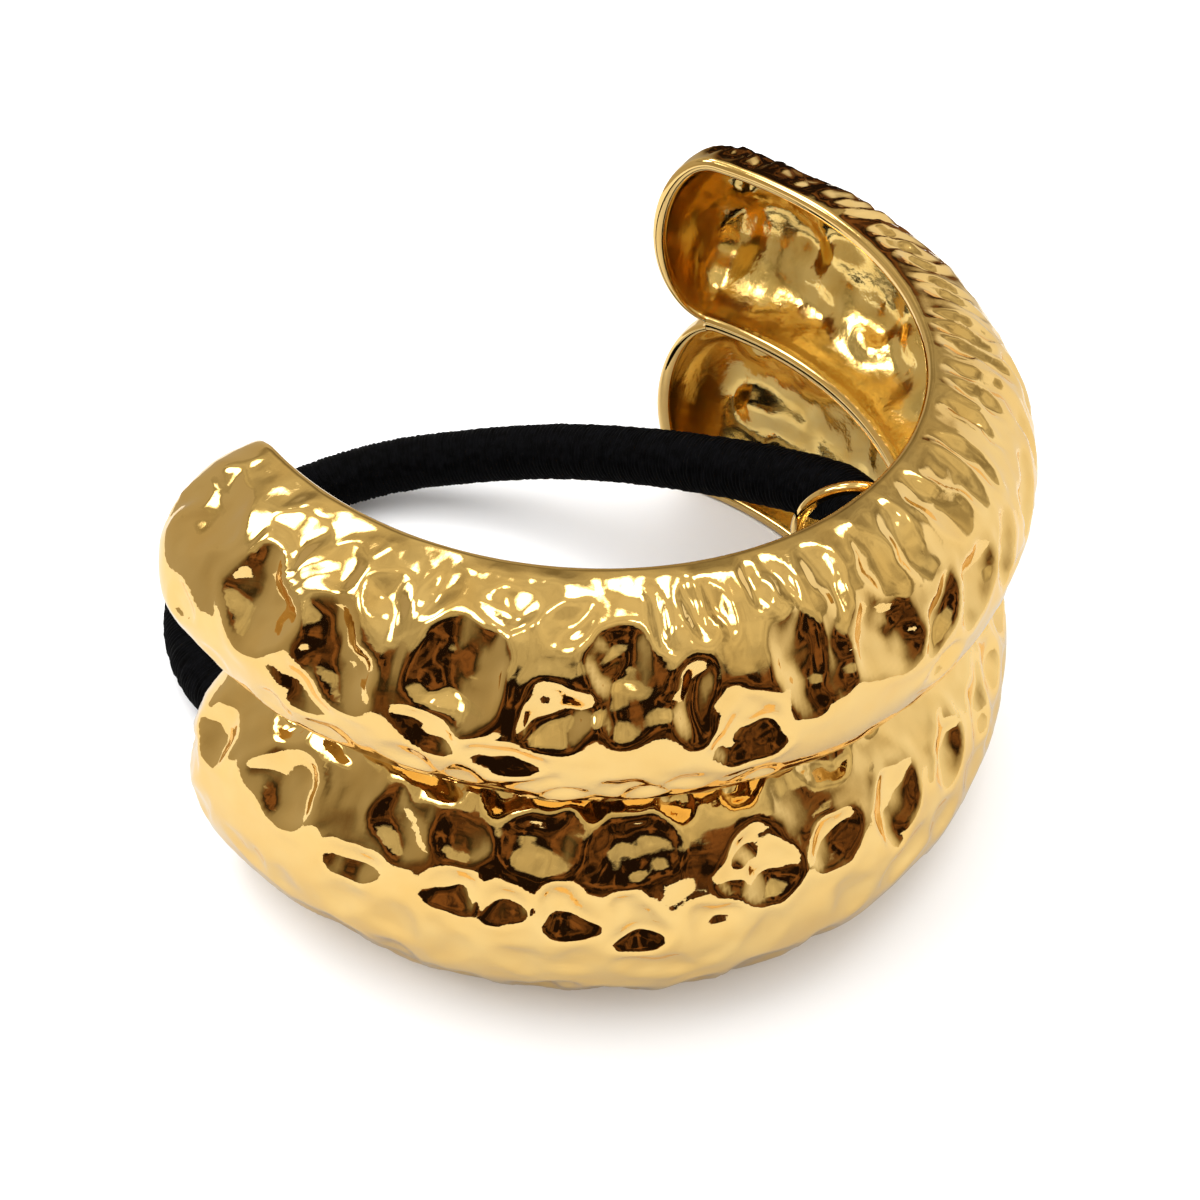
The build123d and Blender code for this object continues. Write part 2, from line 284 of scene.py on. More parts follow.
def makeGroup(name, inputs, outputs):
    group = bpy.data.node_groups.new(name, "ShaderNodeTree")
    for socket, kind, value in inputs:
        made = group.interface.new_socket(socket, in_out="INPUT", socket_type=kind)
        if value is not None:
            made.default_value = value
    for socket, kind in outputs:
        group.interface.new_socket(socket, in_out="OUTPUT", socket_type=kind)
    start = group.nodes.new("NodeGroupInput")
    end = group.nodes.new("NodeGroupOutput")
    return group, group.nodes, group.links, start, end


def useGroup(nodes, group, values):
    node = nodes.new("ShaderNodeGroup")
    node.node_tree = group
    for socket, value in values.items():
        node.inputs[socket].default_value = value
    return node


grainSpec = {"fineDetail": 4.0, "broadDetail": 3.0}


# Fine texture of cast or wound surfaces: a height to bump, and a mask that roughens and tints
def makeGrainGroup(spec):
    group, nodes, links, start, end = makeGroup(
        "fineGrain",
        [("Scale", "NodeSocketFloat", 1000.0), ("Blotch Scale", "NodeSocketFloat", 200.0)],
        [("Height", "NodeSocketFloat"), ("Blotches", "NodeSocketFloat")],
    )
    place = nodes.new("ShaderNodeTexCoord")
    fine = nodes.new("ShaderNodeTexNoise")
    fine.inputs["Detail"].default_value = spec["fineDetail"]
    broad = nodes.new("ShaderNodeTexNoise")
    broad.inputs["Detail"].default_value = spec["broadDetail"]
    for noise, scale in ((fine, "Scale"), (broad, "Blotch Scale")):
        links.new(place.outputs["Object"], noise.inputs["Vector"])
        links.new(start.outputs[scale], noise.inputs["Scale"])
    links.new(fine.outputs["Fac"], end.inputs["Height"])
    links.new(broad.outputs["Fac"], end.inputs["Blotches"])
    return group


# Colour that deepens and roughness that rises where a mask is high
def makeTintGroup():
    group, nodes, links, start, end = makeGroup(
        "tintByMask",
        [
            ("Mask", "NodeSocketFloat", 0.0),
            ("Plain", "NodeSocketColor", (1, 1, 1, 1)),
            ("Deep", "NodeSocketColor", (0, 0, 0, 1)),
            ("From", "NodeSocketFloat", 0.0),
            ("To", "NodeSocketFloat", 1.0),
            ("Smooth Roughness", "NodeSocketFloat", 0.1),
            ("Rough Roughness", "NodeSocketFloat", 0.3),
        ],
        [("Color", "NodeSocketColor"), ("Roughness", "NodeSocketFloat")],
    )
    share = nodes.new("ShaderNodeMapRange")
    links.new(start.outputs["Mask"], share.inputs["Value"])
    links.new(start.outputs["From"], share.inputs["From Min"])
    links.new(start.outputs["To"], share.inputs["From Max"])
    mix = nodes.new("ShaderNodeMix")
    mix.data_type = "RGBA"
    links.new(share.outputs["Result"], mix.inputs["Factor"])
    links.new(start.outputs["Plain"], mix.inputs["A"])
    links.new(start.outputs["Deep"], mix.inputs["B"])
    rough = nodes.new("ShaderNodeMapRange")
    links.new(share.outputs["Result"], rough.inputs["Value"])
    links.new(start.outputs["Smooth Roughness"], rough.inputs["To Min"])
    links.new(start.outputs["Rough Roughness"], rough.inputs["To Max"])
    links.new(mix.outputs["Result"], end.inputs["Color"])
    links.new(rough.outputs["Result"], end.inputs["Roughness"])
    return group


# The gold outside is polished, and inside the hollows it is satin.
# Grain and blotch are the scales of noise in metres, and a bump's depth is in metres too.
goldSpec = {
    "polishedGold": {
        "plain": (0.98, 0.68, 0.265, 1), "deep": (0.95, 0.62, 0.21, 1), "deepens": (0.35, 0.75),
        "roughness": (0.02, 0.07), "grain": 1300.0, "blotch": 300.0, "bump": 0.30, "bumpDepth": 0.00003,
    },
    "satinGold": {
        "plain": (0.96, 0.69, 0.25, 1), "deep": (0.91, 0.59, 0.16, 1), "deepens": (0.35, 0.75),
        "roughness": (0.09, 0.22), "grain": 1500.0, "blotch": 420.0, "bump": 0.60, "bumpDepth": 0.00006,
    },
}
yarnSpec = {
    "plain": (0.0006, 0.0006, 0.0008, 1), "deep": (0.0026, 0.0026, 0.0032, 1), "deepens": (0.40, 0.70),
    "roughness": (0.60, 0.85), "grain": 5200.0, "blotch": 1500.0, "bump": 0.6, "bumpDepth": 0.00006,
    "sheen": 0.005, "sheenRoughness": 0.35, "sheenTint": (0.55, 0.60, 0.75, 1), "specular": 0.035,
}


# What gold and yarn share: tint and roughness by blotches, and a grain that bumps
def makeFinish(name, spec):
    material, nodes, links, shader = newMaterial(name)
    grains = useGroup(nodes, fineGrain, {"Scale": spec["grain"], "Blotch Scale": spec["blotch"]})
    tints = useGroup(nodes, tintByMask, {
        "Plain": spec["plain"], "Deep": spec["deep"],
        "From": spec["deepens"][0], "To": spec["deepens"][1],
        "Smooth Roughness": spec["roughness"][0], "Rough Roughness": spec["roughness"][1],
    })
    links.new(grains.outputs["Blotches"], tints.inputs["Mask"])
    links.new(tints.outputs["Color"], shader.inputs["Base Color"])
    links.new(tints.outputs["Roughness"], shader.inputs["Roughness"])
    bump = nodes.new("ShaderNodeBump")
    bump.inputs["Strength"].default_value = spec["bump"]
    bump.inputs["Distance"].default_value = spec["bumpDepth"]
    links.new(grains.outputs["Height"], bump.inputs["Height"])
    links.new(bump.outputs["Normal"], shader.inputs["Normal"])
    return material, shader


def makeGold(name):
    material, shader = makeFinish(name, goldSpec[name])
    shader.inputs["Metallic"].default_value = 1.0
    return material


def makeYarn(name, spec):
    material, shader = makeFinish(name, spec)
    shader.inputs["Sheen Weight"].default_value = spec["sheen"]
    shader.inputs["Sheen Roughness"].default_value = spec["sheenRoughness"]
    shader.inputs["Sheen Tint"].default_value = spec["sheenTint"]
    shader.inputs["Specular IOR Level"].default_value = spec["specular"]
    return material


fineGrain = makeGrainGroup(grainSpec)
tintByMask = makeTintGroup()
polishedGold = makeGold("polishedGold")
satinGold = makeGold("satinGold")
blackYarn = makeYarn("blackYarn", yarnSpec)
print("materials mixed")

makeElastic(elasticSpec, blackYarn)

# Cuff: the same formulas and hammer marks as its solid, with finer marks besides.
# A pair of values is for the left end and the right end.
cuffSpec = {
    "halfWidth": 21.5, "halfDepth": 22.7, "footFlare": 0.105, "height": 33.4, "tipRound": 11.5,
    "wall": 1.1, "rimWall": 1.0, "valley": 1.3, "valleyFade": 7.0,
    "notchLeft": 101.8, "notchRight": 104.3,
    "stationsBack": 344, "stationsTip": 22, "rowsOuter": 78, "rowsInner": 34, "rowsRim": 5,
    "rimBulge": 0.28, "ribBulge": 0.34, "rimFullness": 0.5, "leastHalf": 0.01,
}
lobes = {
    "lower": {"foot": 0.0, "top": 18.6, "depth": 7.4, "tipDepth": (7.5, 8.0), "tip": (110.9, 113.4),
              "wallFoot": 1.0, "wallTop": 0.65, "noisePlace": 300.0, "innerNoisePlace": 900.0},
    "upper": {"foot": 18.6, "top": 33.4, "depth": 7.3, "tipDepth": (7.5, 8.0), "tip": (113.1, 115.6),
              "wallFoot": 0.65, "wallTop": 1.0, "noisePlace": 500.0, "innerNoisePlace": 700.0},
}
# Each mark: along, across, length, height, depth, turn.
# Four on the lower lobe's shoulder are shallower than the solid's, where it looks flatter.
dents = {
    "upper": [
        (-105, 42, 2.2, 4.4, 0.55, -15),
        (-98, 4, 2.4, 2.6, 0.35, 0),
        (-100, 50, 5.6, 6.4, 0.50, 10),
        (-87, 65, 4.4, 4.2, 0.35, 0),
        (-87, 31, 4.4, 6.6, 1.10, 20),
        (-79, 3, 4.0, 3.0, 0.65, -20),
        (-79, 60, 3.0, 3.6, 0.30, 20),
        (-76, 26, 6.6, 4.6, 1.05, -30),
        (-72, 58, 3.4, 3.4, 0.35, 0),
        (-66, 70, 3.4, 3.0, 0.30, 0),
        (-64, 10, 3.4, 2.2, 0.60, -10),
        (-62, 37, 5.8, 6.2, 1.20, 0),
        (-57, 68, 3.6, 3.2, 0.30, 0),
        (-56, 1, 4.6, 2.6, 0.65, -12),
        (-50, 60, 3.2, 3.6, 0.30, 0),
        (-49, 21, 4.4, 4.2, 1.00, 0),
        (-49, -25, 2.8, 2.0, 0.35, 0),
        (-43, 38, 4.6, 6.0, 1.05, 10),
        (-41, -24, 2.8, 2.0, 0.40, 0),
        (-36, 27, 4.2, 5.8, 0.95, -10),
        (-29, 12, 5.0, 5.0, 1.00, 15),
        (-28, -22, 2.6, 1.8, 0.30, 0),
        (-22, 32, 4.2, 6.4, 0.75, 15),
        (-18, 32, 2.0, 6.0, 0.60, 5),
        (-12, 29, 5.2, 5.2, 0.85, -10),
        (-3, 28, 2.6, 5.6, 0.80, -45),
        (-2, -5, 3.4, 2.6, 0.50, 40),
        (5, 22, 3.0, 5.2, 0.75, -40),
        (12, 15, 2.8, 5.2, 0.65, -40),
        (22, 18, 2.8, 6.2, 0.60, -40),
        (32, 32, 2.6, 5.6, 0.55, -35),
        (41, 30, 2.8, 6.0, 0.60, -35),
    ],
    "lower": [
        (-104, 12, 3.2, 3.6, 0.45, 0),
        (-99, 36, 4.2, 4.6, 0.70, 0),
        (-86, 36, 5.0, 4.8, 0.80, 10),
        (-75, 20, 3.2, 2.8, 0.50, 0),
        (-70, 43, 3.6, 5.0, 0.55, 10),
        (-63, 46, 3.0, 3.8, 0.40, 0),
        (-63, 21, 4.0, 2.6, 0.60, 0),
        (-57, 21, 2.8, 2.4, 0.50, 0),
        (-53, 48, 6.4, 4.8, 0.55, -10),
        (-49, 20, 4.2, 4.2, 0.90, 0),
        (-42, 46, 6.0, 4.6, 0.50, 10),
        (-42, 14, 3.8, 3.6, 0.80, 0),
        (-33, 12, 3.4, 3.2, 0.60, 0),
        (-26, 29, 4.8, 5.4, 1.00, 15),
        (-16, 32, 3.6, 3.8, 0.70, 0),
        (-6, 29, 3.4, 5.0, 0.80, -40),
        (5, 28, 3.2, 5.6, 0.70, -30),
        (14, 27, 3.0, 5.4, 0.60, -30),
    ],
}
# Each row of like marks: start, end, pitch, across, length, height, depth, turn
dentRows = {
    "upper": [
        (-38, -21, 3.9, 70, 1.8, 5.2, 0.40, 10),
        (-15, 22, 6.6, 64, 2.8, 6.8, 0.42, 0),
        (26, 108, 4.5, 68, 1.9, 6.6, 0.48, -8),
        (50, 108, 8.7, 24, 3.2, 6.4, 0.65, -30),
        (16, 106, 7.9, -6, 3.6, 3.4, 0.50, -20),
        (-92, -34, 8.1, -13, 3.2, 2.4, 0.25, 0),
        (-104, 106, 9.6, -47, 4.4, 3.2, 0.35, 0),
    ],
    "lower": [
        (23, 108, 9.1, 32, 3.8, 5.6, 0.75, -25),
        (-14, 106, 8.3, 2, 4.0, 4.0, 0.50, -20),
        (-98, -20, 7.3, -4, 3.6, 2.8, 0.28, 0),
        (-106, 108, 8.9, -36, 4.6, 4.2, 0.45, 0),
        (-100, 104, 10.7, 66, 3.4, 2.6, 0.30, 0),
    ],
}
hammerSpec = {
    # How the marks of a row stray in place and size, by steps that never repeat
    "golden": 0.618034, "otherGolden": 1.854102, "otherStart": 0.3,
    "strayAngle": 2.4, "strayAcross": 9.0, "straySize": 0.35,
    # A mark's hollow, the lip round it, and how marks fade towards the rims
    "roundness": 1.2, "lipHeight": 0.14, "lipPlace": 1.12, "lipWidth": 0.24, "lipEnd": 2.0,
    "fadeStart": 72.0, "fadeEnd": 88.0,
    "reach": 29.0,            # from the axis, where lengths along a lobe are measured
    # Finer than the solid: marks out of round, pebbles, swells, creases, and facets in the marks
    "warpPitch": 2.6, "warp": 0.78, "smallWarpPitch": 1.1, "smallWarp": 0.26,
    "pebblePitch": 3.1, "pebble": 0.16, "finePitch": 1.2, "fine": 0.045,
    "pebbleStart": 12.0, "pebbleFull": 38.0, "pebbleRest": 0.25,
    "swellPitch": 4.2, "swell": 0.18, "creasePitch": 1.0, "crease": 0.035,
    "creaseOutside": 0.3, "creaseInMark": 2.0, "facetPitch": 1.5, "facet": 0.13,
    "extraFadeStart": 80.0, "extraFadeEnd": 90.0,
    # The hollow's skin: marks show where they are deeper than this, beside lumps, knobs and wrinkles
    "innerWall": 0.55, "innerFadeStart": 35.0, "lumpPitch": 3.0, "lump": 1.0,
    "knobPitch": 1.3, "knob": 0.24, "wrinklePitch": 0.6, "wrinkle": 0.06,
}


def spreadRow(row, spec):
    start, end, pitch, across, length, height, depth, turn = row
    marks = []
    for index in range(int((end - start) / pitch) + 1):
        stray = (index * spec["golden"]) % 1.0 - 0.5
        other = (index * spec["otherGolden"] + spec["otherStart"]) % 1.0 - 0.5
        size, tall = 1.0 + stray * spec["straySize"], 1.0 + other * spec["straySize"]
        marks.append((
            start + index * pitch + stray * spec["strayAngle"], across + other * spec["strayAcross"],
            length * size, height * tall, depth * size, turn,
        ))
    return marks


def marksOf(name, spec):
    return dents[name] + [mark for row in dentRows[name] for mark in spreadRow(row, spec)]


def fadeOut(across, start, end):
    return 1.0 - smooth((np.abs(across) - start) / (end - start))


def sectionRadius(lobe):
    return (lobe["depth"] + (lobe["top"] - lobe["foot"]) / 2) / 2


# How far along the lobe and up its section, moved to the noise's own patch
def noisePlaces(lobe, angle, across, shift):
    along = np.radians(angle) * hammerSpec["reach"] + shift
    return along, np.radians(across) * sectionRadius(lobe) + shift


def relief(name, angle, across):
    spec, lobe = hammerSpec, lobes[name]
    along, up = noisePlaces(lobe, angle, across, lobe["noisePlace"])
    stray, small = spec["warpPitch"], spec["smallWarpPitch"]
    strayAlong = spec["warp"] * evenNoise(along / stray, up / stray, "strayAlong")
    strayAlong += spec["smallWarp"] * evenNoise(along / small, up / small, "smallStrayAlong")
    strayUp = spec["warp"] * evenNoise(along / stray, up / stray, "strayUp")
    strayUp += spec["smallWarp"] * evenNoise(along / small, up / small, "smallStrayUp")
    hollow = np.zeros_like(angle)
    lip = np.zeros_like(angle)
    for place, high, length, height, depth, turned in marksOf(name, spec):
        run = np.radians(angle - place) * spec["reach"] + strayAlong
        rise = np.radians(across - high) * sectionRadius(lobe) + strayUp
        turn = math.radians(turned)
        u = (run * math.cos(turn) + rise * math.sin(turn)) / (length / 2)
        v = (rise * math.cos(turn) - run * math.sin(turn)) / (height / 2)
        r = np.hypot(u, v)
        hollow += (depth * np.clip(1.0 - r * r, 0.0, None) ** spec["roundness"]) ** 2
        rolled = depth * spec["lipHeight"] * np.exp(-(((r - spec["lipPlace"]) / spec["lipWidth"]) ** 2))
        lip = np.maximum(lip, np.where(r < spec["lipEnd"], rolled, 0.0))
    total = np.sqrt(hollow) - lip

    # Pebbles mostly on the shoulder, swells everywhere, creases mostly in the marks, facets only there
    shoulder = smooth((across - spec["pebbleStart"]) / (spec["pebbleFull"] - spec["pebbleStart"]))
    pebbled = spec["pebbleRest"] + (1.0 - spec["pebbleRest"]) * shoulder
    coarse, fine, facet = spec["pebblePitch"], spec["finePitch"], spec["facetPitch"]
    cells = hammerCells((along + strayAlong) / coarse, (up + strayUp) / coarse, "pebbles")
    fineCells = hammerCells((along + strayUp) / fine, (up + strayAlong) / fine, "finePebbles")
    extra = pebbled * (spec["pebble"] * (0.5 - cells) + spec["fine"] * (0.5 - fineCells))
    extra += spec["swell"] * evenNoise(along / spec["swellPitch"], up / spec["swellPitch"], "swells")
    inMark = np.clip(np.sqrt(hollow), 0.0, 1.0)
    creases = evenNoise(along / spec["creasePitch"], up / spec["creasePitch"], "creases")
    extra += spec["crease"] * (spec["creaseOutside"] + spec["creaseInMark"] * inMark) * creases
    facets = hammerCells((along + strayUp) / facet, (up - strayAlong) / facet, "facets")
    extra += spec["facet"] * inMark * (0.5 - facets)
    fade = fadeOut(across, spec["fadeStart"], spec["fadeEnd"])
    extraFade = fadeOut(across, spec["extraFadeStart"], spec["extraFadeEnd"])
    return fade * total + extraFade * extra


# The hollow's skin shows only the deeper marks, and has lumps and wrinkles of its own
def innerRelief(name, angle, across):
    spec, lobe = hammerSpec, lobes[name]
    along, up = noisePlaces(lobe, angle, across, lobe["innerNoisePlace"])
    pushed = np.maximum(relief(name, angle, across) - spec["innerWall"], 0.0)
    lumps = 0.5 + 0.5 * evenNoise(along / spec["lumpPitch"], up / spec["lumpPitch"], "lumps")
    knobs = 0.5 + 0.5 * evenNoise(along / spec["knobPitch"], up / spec["knobPitch"], "knobs")
    wrinkles = 0.5 + 0.5 * evenNoise(along / spec["wrinklePitch"], up / spec["wrinklePitch"], "wrinkles")
    own = spec["lump"] * lumps ** 2 + spec["knob"] * knobs ** 2 + spec["wrinkle"] * wrinkles
    return pushed + fadeOut(across, spec["innerFadeStart"], spec["fadeEnd"]) * own


def rimPoint(angle, height):
    spec = cuffSpec
    scale = 1.0 + spec["footFlare"] * (1.0 - height / spec["height"])
    turn = np.radians(angle)
    width, depth = spec["halfWidth"], spec["halfDepth"]
    base = np.stack([scale * width * np.sin(turn), -scale * depth * np.cos(turn), height], -1)
    out = np.stack([depth * np.sin(turn), -width * np.cos(turn), np.zeros_like(turn)], -1)
    return base, out / np.linalg.norm(out, axis=-1, keepdims=True)


# How far inside a lobe's tip its hollow ends, in degrees
tipInset = math.degrees(cuffSpec["rimWall"] / cuffSpec["halfDepth"])


def bySide(pair, angle):
    return np.where(angle > 0, pair[1], pair[0])


def skinPoints(name, angle, across, inside):
    spec, lobe = cuffSpec, lobes[name]
    foot = lobe["foot"] + (lobe["wallFoot"] if inside else 0.0)
    top = lobe["top"] - (lobe["wallTop"] if inside else 0.0)
    inset = tipInset if inside else 0.0
    tip = bySide(lobe["tip"], angle)
    share = (np.abs(angle) - (tip - spec["tipRound"])) / (spec["tipRound"] - inset)
    end = np.sqrt(np.clip(1.0 - np.clip(share, 0.0, None) ** 2, 0.0, None))
    halfHeight = (top - foot) / 2 * end
    tipDepth = bySide(lobe["tipDepth"], angle)
    bulge = tipDepth + (lobe["depth"] - tipDepth) * (1.0 - (angle / tip) ** 2)
    standOut = (bulge - (spec["wall"] if inside else 0.0)) * end
    turn = np.radians(across)
    height = (foot + top) / 2 + halfHeight * np.sin(turn)
    reach = standOut * np.cos(turn)
    if not inside:
        nearRib = (across > 0) == (name == "lower")
        notch = bySide((spec["notchLeft"], spec["notchRight"]), angle)
        valley = spec["valley"] * smooth((notch - np.abs(angle)) / spec["valleyFade"])
        reach = np.maximum(reach, np.where(nearRib, valley, 0.0))

    # Marks sink at right angles to the section, also at a tip, where both its halves shrink to nothing
    rising = np.sin(turn) * np.maximum(standOut, spec["leastHalf"])
    level = np.cos(turn) * np.maximum(halfHeight, spec["leastHalf"])
    lean = np.arctan2(rising, level)
    sunk = (innerRelief if inside else relief)(name, angle, across) * end
    reach = reach - sunk * np.cos(lean)
    height = height - sunk * np.sin(lean)
    base, out = rimPoint(angle, height)
    return base + out * reach[..., None]


def stationAngles(name, inside):
    spec, lobe = cuffSpec, lobes[name]
    back, tipSteps = spec["stationsBack"], spec["stationsTip"]
    rounding = spec["tipRound"] - (tipInset if inside else 0.0)
    angles = []
    for index in range(-tipSteps, back + tipSteps + 1):
        right = index > back / 2
        start = lobe["tip"][1 if right else 0] - spec["tipRound"]
        notch = spec["notchRight"] if right else spec["notchLeft"]
        notchTurn = math.asin(max(0.0, (notch - start) / spec["tipRound"]))
        if 0 <= index <= back:
            angle = (start + rounding * math.sin(notchTurn)) * abs(index - back / 2) / (back / 2)
        else:
            step = (index - back if right else -index) / tipSteps
            turn = notchTurn + (math.pi / 2 - notchTurn) * step
            angle = start + rounding * math.sin(turn)
        angles.append(angle if right else -angle)
    return np.array(angles)


def makeCuff(spec):
    polished, satin = 0, 1      # places in the mesh's list of materials
    points, polygons, looks = [], [], []
    count = 0

    def addGrid(grid):
        nonlocal count
        indices = np.arange(count, count + grid.shape[0] * grid.shape[1]).reshape(grid.shape[:2])
        points.append(grid.reshape(-1, 3))
        count += indices.size
        return indices

    def addStrip(indices, look, facing):
        a, b = indices[:-1, :-1], indices[1:, :-1]
        c, d = indices[1:, 1:], indices[:-1, 1:]
        order = (a, b, c, d) if facing else (a, d, c, b)
        polygons.append(np.stack(order, -1).reshape(-1, 4))
        looks.append(np.full(a.size, look))

    shape = {}
    for name in lobes:
        for inside, rows in ((False, spec["rowsOuter"]), (True, spec["rowsInner"])):
            across = np.linspace(-90.0, 90.0, rows + 1)
            angle, high = np.meshgrid(stationAngles(name, inside), across, indexing="ij")
            shape[name, inside] = skinPoints(name, angle, high, inside)

    # The lobes share one seam along the rib, between the notches of their ends
    tips, back = spec["stationsTip"], spec["stationsBack"]
    fused = slice(tips, tips + back + 1)
    seam = (shape["lower", False][fused, -1] + shape["upper", False][fused, 0]) / 2
    shape["lower", False][fused, -1] = seam
    shape["upper", False][fused, 0] = seam
    outer, inner = {}, {}
    for name in lobes:
        outer[name] = addGrid(shape[name, False])
        inner[name] = addGrid(shape[name, True])
    outer["upper"][fused, 0] = outer["lower"][fused, -1]
    for name in lobes:
        addStrip(outer[name], polished, True)
        addStrip(inner[name], satin, False)

    # Rounded rims: rows from the outer skin's edge to the hollow's edge, swollen towards the axis
    def addRim(fromIndices, fromPoints, toIndices, toPoints, swell, facing):
        steps = np.arange(1, spec["rowsRim"]) / spec["rowsRim"]
        inward = -fromPoints * np.array([1.0, 1.0, 0.0])
        inward /= np.linalg.norm(inward, axis=1)[:, None]
        width = np.linalg.norm(toPoints - fromPoints, axis=1)
        lift = np.minimum(swell, width / 2)
        rounded = np.sin(math.pi * steps) ** spec["rimFullness"]
        between = (
            fromPoints[:, None] * (1 - steps)[None, :, None] + toPoints[:, None] * steps[None, :, None]
            + inward[:, None] * rounded[None, :, None] * lift[:, None, None]
        )
        middle = addGrid(between)
        across = np.concatenate([fromIndices[:, None], middle, toIndices[:, None]], axis=1)
        addStrip(across, polished, facing)

    everywhere, leftTip, rightTip = slice(None), slice(0, tips + 1), slice(tips + back, None)
    rims = [
        ("lower", 0, False, everywhere),
        ("upper", -1, True, everywhere),
        ("lower", -1, True, leftTip),
        ("lower", -1, True, rightTip),
        ("upper", 0, False, leftTip),
        ("upper", 0, False, rightTip),
    ]
    for name, row, facing, part in rims:
        addRim(
            outer[name][part, row], shape[name, False][part, row],
            inner[name][part, row], shape[name, True][part, row],
            spec["rimBulge"], facing,
        )
    addRim(
        inner["lower"][fused, -1], shape["lower", True][fused, -1],
        inner["upper"][fused, 0], shape["upper", True][fused, 0],
        spec["ribBulge"], False,
    )
    cuff = meshObject(
        "cuffCasting", placed(np.concatenate(points)), np.concatenate(polygons),
        [polishedGold, satinGold], np.concatenate(looks),
    )
    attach(cuff, "root")
    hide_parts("cuff")
    print("cuff cast,", len(cuff.data.polygons), "faces")


makeCuff(cuffSpec)

# Eyelet: a wire ring soldered upright on the rib
eyeletSpec = {
    "angle": 35.0, "height": 18.6, "radius": 3.9, "wire": 0.9, "bite": 0.5, "around": 96, "section": 20,
}


def makeEyelet(spec):
    rib, out = rimPoint(np.array(spec["angle"]), np.array(spec["height"]))
    middle = rib - out * (spec["radius"] + spec["wire"] / 2 - spec["bite"])
    turns = np.linspace(0.0, 2 * math.pi, spec["around"], endpoint=False)
    folds = np.linspace(0.0, 2 * math.pi, spec["section"], endpoint=False)
    spoke = np.cos(turns)[:, None] * out[None] + np.sin(turns)[:, None] * np.array([[0.0, 0.0, 1.0]])
    axle = np.cross(out, (0.0, 0.0, 1.0))
    wire = spec["wire"] / 2
    ring = middle + spoke[:, None] * (spec["radius"] + wire * np.cos(folds))[None, :, None]
    ring = ring + axle[None, None] * (wire * np.sin(folds))[None, :, None]
    here = np.arange(spec["around"])[:, None] * spec["section"] + np.arange(spec["section"])[None]
    after = np.roll(here, -1, axis=0)
    faces = np.stack([here, after, np.roll(after, -1, axis=1), np.roll(here, -1, axis=1)], axis=-1)
    eyelet = meshObject("eyelet", placed(ring.reshape(-1, 3)), faces.reshape(-1, 4), [polishedGold])
    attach(eyelet, "root")
    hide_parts("cuff")
    print("eyelet soldered")


makeEyelet(eyeletSpec)

# Stage, in metres: pale floor, soft boxes, and a ring of cards that only reflections see
stageSpec = {
    "floorSize": 6.0, "floorColor": (0.93, 0.93, 0.93, 1), "floorReflected": (0.56, 0.555, 0.54, 1),
    "ceilingLow": (0.15, 0.12, 0.065, 1), "ceilingHigh": (0.72, 0.66, 0.49, 1),
    "ceilingPatches": 2.4, "ceilingDetail": 3.0, "ceilingUneven": 1.3, "ceilingClimb": (0.75, 1.85),
    "fill": (1.08, 1.08, 1.08, 1), "backdrop": (1, 1, 1, 1),
}
cardSpec = {
    "radius": 0.105, "height": 0.150, "sides": 120,
    "edge": 0.080, "edgeBlur": 0.010, "edgeWave": 0.030, "waves": 14.0,
    "warmth": (1.0, 1.15, 1.5),   # powers that leave a dim card less green and less blue
    "dark": (0.012, 0.006, 0.004, 1), "brown": (0.22, 0.095, 0.035, 1),
    "streaks": 30.0, "streakRange": (0.42, 0.60), "streakFade": 3.0, "detail": 3.0,
}
# Brightness of the cards: compass angle from +Y towards +X, then its share of white
cardStops = [
    (0, 0.44), (30, 0.55), (46, 0.36), (58, 0.04), (74, 0.04), (86, 0.80), (125, 0.95), (152, 0.80),
    (168, 0.50), (182, 0.12), (196, 0.0), (252, 0.0), (268, 0.12), (284, 0.34), (320, 0.46), (360, 0.46),
]
# Soft boxes: compass angle, height angle, angular radius, the panel's radiance, and its lamp's watts
softBoxes = [
    {"name": "leftBox", "compass": -38, "high": 50, "spread": 12, "radiance": 11.0, "power": 0.8},
    {"name": "sideBox", "compass": -76, "high": 58, "spread": 11, "radiance": 8.0, "power": 0.1},
    {"name": "farBox", "compass": 12, "high": 60, "spread": 9, "radiance": 10.0, "power": 0.45},
    {"name": "overheadBox", "compass": 80, "high": 72, "spread": 11, "radiance": 10.0, "power": 0.6},
    {"name": "nearBox", "compass": -130, "high": 74, "spread": 6, "radiance": 7.0, "power": 0.2},
]
boxSpec = {
    "distance": 0.45,         # from the middle of the floor
    "softEdge": 0.90,         # share of a panel over which its glow fades
    "lampWidth": 4.0,         # a lamp's diameter, in half widths of its panel
}


def makeFloor(spec):
    half = spec["floorSize"] / 2
    corners = np.array([(-half, -half, 0.0), (half, -half, 0.0), (half, half, 0.0), (-half, half, 0.0)])
    material, nodes, links, shader = newMaterial("paleFloor")
    shader.inputs["Roughness"].default_value = 1.0
    shader.inputs["Specular IOR Level"].default_value = 0.0
    path = nodes.new("ShaderNodeLightPath")
    tone = nodes.new("ShaderNodeMix")
    tone.data_type = "RGBA"
    tone.inputs["A"].default_value = spec["floorColor"]
    tone.inputs["B"].default_value = spec["floorReflected"]
    links.new(path.outputs["Is Glossy Ray"], tone.inputs["Factor"])
    links.new(tone.outputs["Result"], shader.inputs["Base Color"])
    floor = meshObject("floor", corners, np.array([[0, 1, 2, 3]]), [material])


def glowMaterial(name):
    material, nodes, links, shader = newMaterial(name)
    nodes.remove(shader)
    glow = nodes.new("ShaderNodeEmission")
    links.new(glow.outputs["Emission"], nodes["Material Output"].inputs["Surface"])
    return material, nodes, links, glow


def onlyReflected(card):
    card.visible_camera = False
    card.visible_diffuse = False
    card.visible_shadow = False
    card.visible_transmission = False


